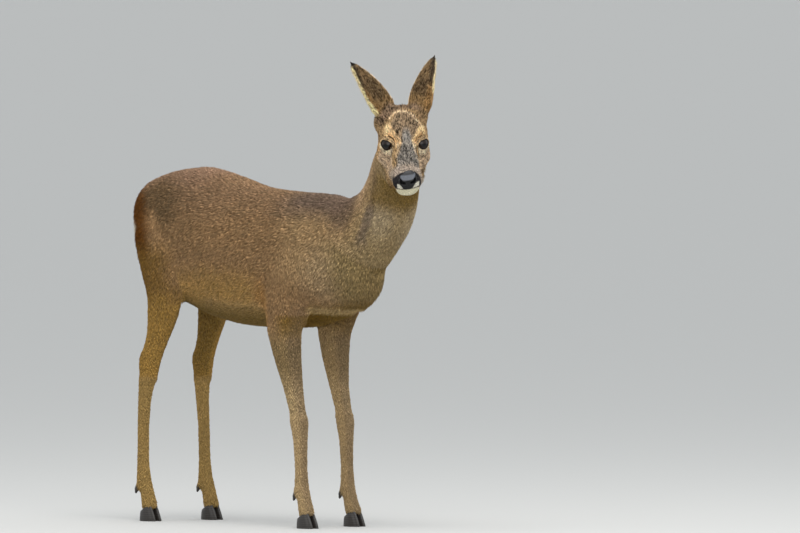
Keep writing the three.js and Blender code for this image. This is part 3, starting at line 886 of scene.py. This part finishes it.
def nose_patch():
    """The bare nose, with its nostrils and the groove below them."""
    turn = np.linspace(0, 2 * np.pi, 120, endpoint=False)
    reach = rounded(nose_edge(np.degrees(turn)), 6)
    rings = []
    steps = np.concatenate([np.linspace(0.02, 0.9, 34), [0.93, 0.96, 0.985, 1.0, 1.0]])
    for number, k in enumerate(steps):
        s, u = reach * k * np.cos(turn), NOSE_MIDDLE + reach * k * np.sin(turn)
        w = np.abs(s)
        front = 117.6 - 4.4 * (w / 22) ** 3.3
        top = 117.8 - 1.19 * (u + 6) - 0.008 * s**2
        a = -1.3 * np.log(np.exp(-(front - 110) / 1.3) + np.exp(-(top - 110) / 1.3)) + 110
        flat = np.stack([w, u], 1)
        gap = gap_to(flat, [(8.0, -10.8), (12.5, -9.6), (16.6, -3.0)])
        slit = ease(w, 11.5, 16.5)  # each nostril narrows to a slit towards its outer end
        wide = 2.7 - 1.6 * slit
        a -= (7.0 - 4.0 * slit) * ease(gap, wide + 0.8, wide - 0.9)
        a += 0.7 * np.exp(-(((gap - wide - 1.7) / 1.1) ** 2))
        a -= 0.8 * np.exp(-((s / 0.8) ** 2)) * ease(u, -13, -18)
        a -= 2.2 * ease(k, 0.90, 1.0) + (7.0 if number == len(steps) - 1 else 0)
        rings.append(from_head(np.stack([a, s + SWAY, u + MOUTH_TILT * s], 1)))
    points, faces = ring_net(rings)
    around = len(turn)
    front, back = len(points), len(points) + 1
    points = np.concatenate([points, [rings[0].mean(0), rings[-1].mean(0)]])
    caps = []
    last = (len(rings) - 1) * around
    for j in range(around):
        k = (j + 1) % around
        caps.append((front, k, j))
        caps.append((back, last + j, last + k))
    triangles = np.concatenate([faces[:, [0, 1, 2]], faces[:, [0, 2, 3]], np.array(caps)])
    return points, triangles


for side, sign in SIDE_SIGNS:
    points, faces = lid(sign)
    head_only = np.zeros((len(points), len(kinds)))
    head_only[:, HEAD] = 1
    tone, _ = markings_and_painted_light(points, unit(points - eye_centre(sign)), head_only)
    tone = blend(tone, (30, 25, 22), ease(np.repeat(LID_SIZES, LID_STEPS), 1.08, 1.02))
    lids = plain_mesh(f"lids_{side}", points, faces, coat_underlayer, tone)
    facing_out(lids)
    only(skin, lids)
    bpy.ops.object.join()

leather = Finish(
    "nose_leather", Roughness=0.45, Specular_IOR_Level=0.22, Coat_Weight=0.15, Coat_Roughness=0.25
)
pebbles = leather.texture("Voronoi", Scale=620).outputs["Distance"]
leather.colour_carried(leather.ranged(pebbles, 1.15, 0.7))
leather.bump(pebbles, 0.5, 0.0006, invert=True)

points, faces = nose_patch()
a, s, u = in_head(points).T
s = s - swayed(a)
level = levelled(a, s, u)
# The nose is black. Its greyer top edge is painted sheen, and the pale patch on its upper face is a painted
# reflection of light from above.
tone = paint(13, 12, 13) + ease(level, 1, 3.5)[:, None] * paint(28, 28, 31)
painted_reflection = ease(np.abs(s / 15.5) ** 2.6 + np.abs((level - 2.0) / 7.2) ** 2.6, 1.15, 0.85) * ease(level, 3.0, 1.0)
nose = plain_mesh("nose", points, faces, leather.made, blend(tone, (82, 85, 92), painted_reflection))
facing_out(nose, doubles=1e-6)

# ---- Eyes ----
wet = Finish("eye_wet", Roughness=0.08, Specular_IOR_Level=0.15, Coat_Weight=0.25, Coat_Roughness=0.03)
wet.colour_carried(wet.texture("Noise", Scale=900).outputs["Fac"], factor=0.5)
IRIS = 11.8  # how far the iris reaches from the axis of sight
PUPIL = (7.0, 3.6)  # half its width and half its height

for side, sign in SIDE_SIGNS:
    centre = Vector(eye_centre(sign))
    gaze = Vector(HEAD_AXES @ (unit(EYE_FRONT - (0, 0, 0.15)) * (1, sign, 1)))
    turn = gaze.to_track_quat("Z", "Y")
    bpy.ops.object.select_all(action="DESELECT")
    bpy.ops.mesh.primitive_uv_sphere_add(
        segments=64, ring_count=40, radius=EYE_RADIUS * MM, location=(0, 0, 0)
    )
    eye = bpy.context.object
    eye.name = eye.data.name = f"eyeball_{side}"
    local = points_of(eye.data) / MM
    off = np.hypot(local[:, 0], local[:, 1])
    front = local[:, 2] > 0
    local[:, 2] += np.where(front, 0.9 * ease(off, 11.5, 4), 0)
    tone = np.tile(paint(24, 18, 15), (len(local), 1))
    tone[front & (off < IRIS)] = paint(32, 21, 14)
    tone[front & (np.hypot(*(local[:, :2] / PUPIL).T) < 1)] = paint(6, 6, 8)
    eye.data.vertices.foreach_set("co", (local * MM).astype(np.float32).ravel())
    carry(eye.data, tone)
    eye.data.transform(Matrix.Translation(centre) @ turn.to_matrix().to_4x4())
    eye.data.materials.append(wet.made)
    only(eye)
    bpy.ops.object.shade_smooth()
    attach(eye, "root")
    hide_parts(f"eye_{side}")
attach(nose, "root")
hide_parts("muzzle")
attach(skin, "root")
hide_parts(*FLESH)

# ---- Hooves ----
horn = Finish("hoof_horn", Roughness=0.42)
growth = horn.texture("Wave", Scale=70, Distortion=3.0)
growth.bands_direction = "Z"
ramp = horn.nodes.new("ShaderNodeValToRGB")
ramp.color_ramp.elements[0].color = (0.014, 0.012, 0.010, 1)
ramp.color_ramp.elements[1].color = (0.026, 0.021, 0.018, 1)
horn.links.new(growth.outputs["Fac"], ramp.inputs["Fac"])
horn.links.new(ramp.outputs["Color"], horn.shader.inputs["Base Color"])
horn.bump(growth.outputs["Fac"], 0.3, 0.0005)


def pick(made, wanted):
    """Selects the points of a piece in edit mode for which wanted is true."""
    bpy.ops.object.mode_set(mode="OBJECT")
    for part in (made.data.vertices, made.data.edges, made.data.polygons):
        part.foreach_set("select", np.zeros(len(part), bool))
    for v in made.data.vertices:
        v.select = bool(wanted(v.co))
    bpy.ops.object.mode_set(mode="EDIT")


# The sole is a circle whose width is drawn in, past a place along x or across y, by a share, towards a line.
# The first two point the toe, and the last flattens the side that meets the other half.
SOLE_DRAWN_IN = [("x", 0.12, 0.86, 0.1), ("x", 0.3, 0.78, 0.2), ("y", 0.28, 0.3, 0.28)]
SOLE_SHARE = (0.96, 1.05)  # of the node's length and width
# The claw grows out of the sole in steps: height, how far ahead, length and width as shares of those below.
CLAW_STEPS = [
    (1.6, 0.0, 1 / 0.96, 1 / 0.95),
    (8.5, -1.7, 0.90, 0.98),
    (8.0, -1.9, 0.88, 0.97),
    (6.0, -1.5, 0.88, 0.96),
]
CLAW_LEAN = rad(6)  # of each step but the first
CLAW_CAP = 3.0 * MM


def box_of(node):
    """The middle and the size of a node's box."""
    corners = points_of(node.data)
    low, high = corners.min(0), corners.max(0)
    return (low + high) / 2, high - low


def claw(node, inward):
    """One half of a hoof: pointed at the toe, flat where it meets the other half."""
    middle, size = box_of(node)
    bpy.ops.object.select_all(action="DESELECT")
    bpy.ops.mesh.primitive_circle_add(vertices=40, radius=0.5, fill_type="NGON", location=(0, 0, 0))
    made = bpy.context.object
    for axis, start, share, pivot in SOLE_DRAWN_IN:
        pick(made, lambda c: (c.x if axis == "x" else c.y * inward) > start)
        bpy.ops.transform.resize(value=(1, share, 1), center_override=(0, pivot * inward, 0))
    bpy.ops.mesh.select_all(action="SELECT")
    sole = (size[0] * SOLE_SHARE[0], size[1] * SOLE_SHARE[1], 1)
    bpy.ops.transform.resize(value=sole, center_override=(0, 0, 0))
    bpy.ops.transform.translate(value=(middle[0], middle[1], 0))
    centre = middle[0]
    height = 0.0
    for step, (up, onward, longer, wider) in enumerate(CLAW_STEPS):
        height += up * MM
        centre += onward * MM
        pivot = (centre, middle[1], height)
        bpy.ops.mesh.extrude_region_move(TRANSFORM_OT_translate={"value": (onward * MM, 0, up * MM)})
        bpy.ops.transform.resize(value=(longer, wider, 1), center_override=pivot)
        bpy.ops.transform.rotate(value=CLAW_LEAN if step else 0, orient_axis="Y", center_override=pivot)
    bpy.ops.mesh.extrude_region_move(TRANSFORM_OT_translate={"value": (-0.8 * MM, 0, CLAW_CAP)})
    bpy.ops.transform.resize(value=(0.7, 0.6, 1), center_override=(centre, middle[1], height + CLAW_CAP))
    bpy.ops.mesh.select_all(action="SELECT")
    bpy.ops.mesh.normals_make_consistent(inside=False)
    bpy.ops.object.mode_set(mode="OBJECT")
    return made


DEWCLAW_SIZE = (9.5 * MM, 8.4 * MM, 27 * MM)
DEWCLAW_LEAN = rad(-22)


def dewclaw(node):
    """A small horn drop that hangs behind the pastern."""
    middle, _ = box_of(node)
    bpy.ops.object.select_all(action="DESELECT")
    bpy.ops.mesh.primitive_uv_sphere_add(segments=24, ring_count=14, radius=0.5, location=(0, 0, 0))
    made = bpy.context.object
    bpy.ops.object.mode_set(mode="EDIT")
    bpy.ops.mesh.select_all(action="SELECT")
    bpy.ops.transform.resize(value=DEWCLAW_SIZE, center_override=(0, 0, 0))
    pick(made, lambda c: c.z < -0.004)
    bpy.ops.transform.resize(value=(0.8, 0.9, 0.85), center_override=(0.002, 0, -0.004))
    bpy.ops.mesh.select_all(action="SELECT")
    bpy.ops.transform.rotate(value=DEWCLAW_LEAN, orient_axis="Y", center_override=(0, 0, 0))
    bpy.ops.transform.translate(value=tuple(middle + (0.001, 0, 0.002)))
    bpy.ops.object.mode_set(mode="OBJECT")
    return made


for leg in LEGS:
    foot = leg.removeprefix("leg_")
    outside = 1 if foot.endswith("left") else -1
    hooves = [f"hoof_{foot}_inner", f"hoof_{foot}_outer"]
    dewclaws = [f"dewclaw_{foot}_inner", f"dewclaw_{foot}_outer"]
    horns = [claw(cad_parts[node], inward) for node, inward in zip(hooves, (outside, -outside))]
    horns += [dewclaw(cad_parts[node]) for node in dewclaws]
    only(*horns)
    bpy.ops.object.join()
    foot_horn = bpy.context.object
    foot_horn.name = foot_horn.data.name = f"horn_{foot}"
    foot_horn.data.materials.clear()
    foot_horn.data.materials.append(horn.made)
    bpy.ops.object.shade_smooth_by_angle(angle=rad(50))
    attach(foot_horn, "root")
    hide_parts(*hooves, *dewclaws)

# ---- The coat ----
# A tuft is a thin spindle: a root under the skin, a ring of three points and a tip. The ring and the tip
# stand off the skin, so that tufts overlap like tiles.
SPINDLE = np.array([(0, 2, 1), (0, 3, 2), (0, 1, 3), (4, 1, 2), (4, 2, 3), (4, 3, 1)])


def sown(crowding):
    """Roots strewn evenly over the skin's net: their cells and the shares of the cell's corners."""
    mean = crowding[cells].mean(1)
    number = np.floor(mean + draw.random(len(cells))).astype(int)
    cell = np.repeat(np.arange(len(cells)), number)
    p, q = draw.random((2, len(cell)))
    share = np.stack([(1 - p) * (1 - q), p * (1 - q), p * q, (1 - p) * q], 1)
    return cells[cell], share


def at_roots(values, corner, share):
    if values.ndim == 1:
        return np.sum(values[corner] * share, axis=1)
    return np.einsum("ijk,ij->ik", values[corner], share)


a, s, u = in_head(skin_at).T
s = s - swayed(a)
bare = near_head & (within_nose(s, levelled(a, s, u)) < 0.98) & (a > 84)
bare |= eye_ring < 1.08
# Hair is short and close round the eyes.
crowd = crowd * ~bare * (1 + 2.0 * ease(eye_ring, 1.9, 1.5))

corner, share = sown(crowd)
root = at_roots(skin_at, corner, share)
up = unit(at_roots(facing, corner, share))
lie = at_roots(way, corner, share)
kind_share = at_roots(shares, corner, share)
size = {
    name: at_roots(values, corner, share)
    for name, values in (("length", length), ("width", width), ("lift", lift))
}
streaks = at_roots(streak, corner, share)

# Near the eyes the roots ride up on the lids.
for sign in (-1, 1):
    _, away, turn, ring = round_eye(root, sign)
    on_lid = (ring > 1.05) & (ring < 1.55) & (away < 28) & (kind_share[:, HEAD] > 0.3)
    on_lid &= away < lid_reach(turn, ring, sign) + 0.8
    here = lid_point(turn, ring, sign)
    slope = np.cross(lid_point(turn + 0.06, ring, sign) - here, lid_point(turn, ring + 0.04, sign) - here)
    slope *= np.sign(np.sum(slope * here, axis=1))[:, None]
    root[on_lid] = from_head((here + EYE_AT) * (1, sign, 1))[on_lid]
    up[on_lid] = unit((slope * (1, sign, 1)) @ HEAD_AXES.T)[on_lid]
    small = 3.0 + 6 * ease(ring, 1.25, 2.2)
    size["length"] = np.where((ring < 2.2) & (away < 32), np.minimum(size["length"], small), size["length"])
lips = kind_share[:, HEAD] * ease(in_head(root)[:, 0], 84, 96)
size["length"] *= 1 - 0.25 * lips
size["width"] *= 1 - 0.1 * lips

number = len(root)
# Long pale hair stands out of the ears' hollows.
in_hollow = np.zeros(number)
for side, sign in SIDE_SIGNS:
    c, _, t = in_ear(root, side).T
    mine = kind_share[:, EAR] > 0.5
    mine &= np.sign(in_head(root)[:, 1]) == sign
    within = mine & (up @ EARS[side][2] > 0.15) & (t > 14) & (t < 112)
    in_hollow[within] = 1
    inwards = np.sign(c[within])[:, None] * EARS[side][1]
    lie[within] = EARS[side][3] * 0.9 + EARS[side][2] * 0.5 - 0.5 * inwards
    on_rim = mine & (sign * c > ear_half(t / EAR_LENGTH) - 6) & (t < 118)
    lie[on_rim] = EARS[side][3] + sign * EARS[side][1] * 0.30
    in_hollow[on_rim] = 0
size["length"] *= 1 + 0.5 * in_hollow
size["lift"] *= 1 + 0.2 * in_hollow

lie = lie - up * np.sum(lie * up, axis=1)[:, None]
lie = unit(lie)
yaw = 0.16 * draw.normal(size=number) + 0.14 * noise(root, 0.012, 5) + 0.10 * noise(root, 0.04, 6)
side_way = np.cross(up, lie)
lie = unit(lie * np.cos(yaw)[:, None] + side_way * np.sin(yaw)[:, None])
side_way = np.cross(up, lie)
long = size["length"] * draw.uniform(0.72, 1.28, number) * MM
half = 0.5 * size["width"] * draw.uniform(0.75, 1.25, number) * MM
rise = size["lift"] * draw.uniform(0.6, 1.5, number)

small_parts = np.clip(kind_share[:, HEAD] + kind_share[:, EAR], 0, 1)
# A tuft takes the colour of the place where its outer half is seen.
tone, ticks = markings_and_painted_light(root + lie * (0.6 * long * small_parts)[:, None], up, kind_share)

inside = 0.0006 * np.minimum(long / 0.01, 1.2)  # how deep a root sits
middle = root + lie * (0.45 * long)[:, None] + up * (0.45 * long * rise * 1.15)[:, None]
tips = root + lie * long[:, None] + up * (long * rise * 0.85)[:, None]
points = np.stack(
    [
        root - up * inside[:, None],
        middle - side_way * half[:, None],
        middle + up * (half * 0.8)[:, None],
        middle + side_way * half[:, None],
        tips,
    ],
    axis=1,
)

# Each tuft is dark at its root. A ticked one is pale towards its tip, and some tips are dark.
legs = np.clip(kind_share[:, UPPER_LEG] + kind_share[:, LOWER_LEG], 0, 1)
clumps = small_parts * noise(root, 0.0019, 8)
clumps += (1 - small_parts) * (1 - 0.3 * legs) * noise(root, 0.0026, 9)
swing = 0.25 * streaks + 0.8 * draw.normal(size=number) + 2.4 * clumps
pale_tip = ease(swing, 0.1, 0.7)
dark_tip = ease(swing, -0.3, -0.9)
light = 1.15 * tone + 0.2 * paint(238, 213, 168)
dark = tone * 0.22
strength = (0.9 * ticks)[:, None]
tip_tone = tone + strength * (pale_tip[:, None] * (light - tone) + dark_tip[:, None] * (dark - tone))
banding = 0.42 * small_parts - 0.35 * (1 - small_parts)
ring_tone = tone * (1 + ticks * np.clip(banding * swing, -0.6, 0.5))[:, None]
root_tone = tone * (0.75 - 0.2 * ticks)[:, None]
tones = np.clip(np.stack([root_tone, ring_tone, ring_tone * 1.05, ring_tone, tip_tone], axis=1), 0, 1)

CHART_SIZE = (0.32, 0.48)
CHART_EDGE = 0.005
PATCH = 0.0014  # half of what one tuft covers on the map
PATCH_CORNERS = PATCH * np.array([(0, -1), (-1, 0), (0, 0), (1, 0), (0, 1)])


def unwrapped(at, out):
    """A box unwrap of the roots of one piece, six sides in a grid of three by two, filling the map."""
    side = np.argmax(np.abs(out), axis=1)
    chart = side * 2 + (out[np.arange(len(out)), side] > 0)
    uv = np.zeros((len(at), 2))
    for number in np.unique(chart):
        these = chart == number
        flat = np.delete(at[these], number // 2, axis=1)
        low, high = flat.min(0), flat.max(0)
        scale = 1 / max(*((high - low) / CHART_SIZE), 1e-6)
        uv[these] = (flat - low) * scale + (number % 3 / 3 + CHART_EDGE, number // 3 / 2 + CHART_EDGE)
    return uv


def coat_piece(name, these, nodes):
    """One joined mesh of the tufts chosen."""
    chosen = np.nonzero(these)[0]
    faces = (SPINDLE[None] + 5 * np.arange(len(chosen))[:, None, None]).reshape(-1, 3)
    made = plain_mesh(name, points[chosen].reshape(-1, 3), faces, coat_hair, tones[chosen].reshape(-1, 3))
    spots = (unwrapped(root[chosen], up[chosen])[:, None] + PATCH_CORNERS).reshape(-1, 2)
    layer = made.data.uv_layers.new(name="OFBake")
    layer.data.foreach_set("uv", spots[faces.ravel()].astype(np.float32).ravel())
    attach(made, "root")
    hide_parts(*nodes)


main = np.argmax(kind_share, axis=1)
rx, ry, _ = in_body(root).T
left = in_head(root)[:, 1] > 0
uppers = [f"{leg}_upper" for leg in LEGS]
lowers = [f"{leg}_lower" for leg in LEGS]
behind = rx < -150
coat_piece("coat_rump", ((main == TRUNK) & behind) | (main == TAIL), ("trunk", "tail"))
coat_piece("coat_flank_right", (main == TRUNK) & ~behind & (ry < 0), ("trunk",))
coat_piece("coat_flank_left", (main == TRUNK) & ~behind & (ry >= 0), ("trunk",))
coat_piece("coat_neck", main == NECK, ("neck",))
coat_piece("coat_face_right", (main == HEAD) & ~left, ("head",))
coat_piece("coat_face_left", (main == HEAD) & left, ("head",))
coat_piece("coat_ears", main == EAR, ("ear_right", "ear_left"))
coat_piece("coat_forelegs", (main == UPPER_LEG) & (rx > 0), uppers[:2])
coat_piece("coat_thighs", (main == UPPER_LEG) & (rx <= 0), uppers[2:])
coat_piece("coat_shanks", main == LOWER_LEG, lowers)

# ---- Floor, light and camera ----
bpy.ops.object.select_all(action="DESELECT")
bpy.ops.mesh.primitive_plane_add(size=120, location=(0, 0, 0))
floor = bpy.context.object
floor.name = "floor"
floor.data.materials.append(Finish("pale_floor", Base_Color=(0.5, 0.5, 0.49, 1), Roughness=0.9).made)

world = bpy.data.worlds.new("studio")
bpy.context.scene.world = world
world.use_nodes = True
backdrop = world.node_tree.nodes["Background"].inputs
backdrop["Color"].default_value = (0.95, 0.98, 1.0, 1)
backdrop["Strength"].default_value = 0.95
bpy.context.scene.view_settings.view_transform = "Standard"


def lamp(name, size, power, at, towards, tint=(1, 1, 1)):
    data = bpy.data.lights.new(name, "AREA")
    data.size = size
    data.energy = power
    data.color = tint
    made = in_scene(name, data)
    made.location = at
    made.rotation_euler = (Vector(towards) - Vector(at)).to_track_quat("-Z", "Y").to_euler()


lamp("overhead", 2.6, 105, (0.9, -0.9, 4.4), (0, 0, 0.5), (1.0, 0.98, 0.95))
lamp("front", 4.0, 120, (3.4, -3.0, 2.6), (0, 0, 0.5), (1.0, 0.99, 0.97))

DIAGONAL = math.sqrt(0.5)
right = np.array([DIAGONAL, DIAGONAL, 0.0])
tilt = rad(2.0)
back = np.array([DIAGONAL * math.cos(tilt), -DIAGONAL * math.cos(tilt), math.sin(tilt)])
rise_way = np.cross(back, right)
RENDER_WIDE, RENDER_HIGH = 800, 533
SCALE = 495.0  # pixels of the render to the metre where the doe stands
STANDS_AT = (259, 524)  # where the render shows the point between her feet, in pixels from its top left
DISTANCE = 40.0
SENSOR = 36
aim = right * ((RENDER_WIDE / 2 - STANDS_AT[0]) / SCALE)
aim = aim + rise_way * ((STANDS_AT[1] - RENDER_HIGH / 2) / SCALE) + BODY_AT * MM
camera_data = bpy.data.cameras.new("camera")
camera_data.sensor_width = SENSOR
camera_data.lens = SENSOR * DISTANCE * SCALE / RENDER_WIDE
camera_data.clip_end = 300
camera = in_scene("camera", camera_data)
camera.matrix_world = Matrix(
    [[right[i], rise_way[i], back[i], (aim + back * DISTANCE)[i]] for i in range(3)] + [[0, 0, 0, 1]]
)
bpy.context.scene.camera = camera
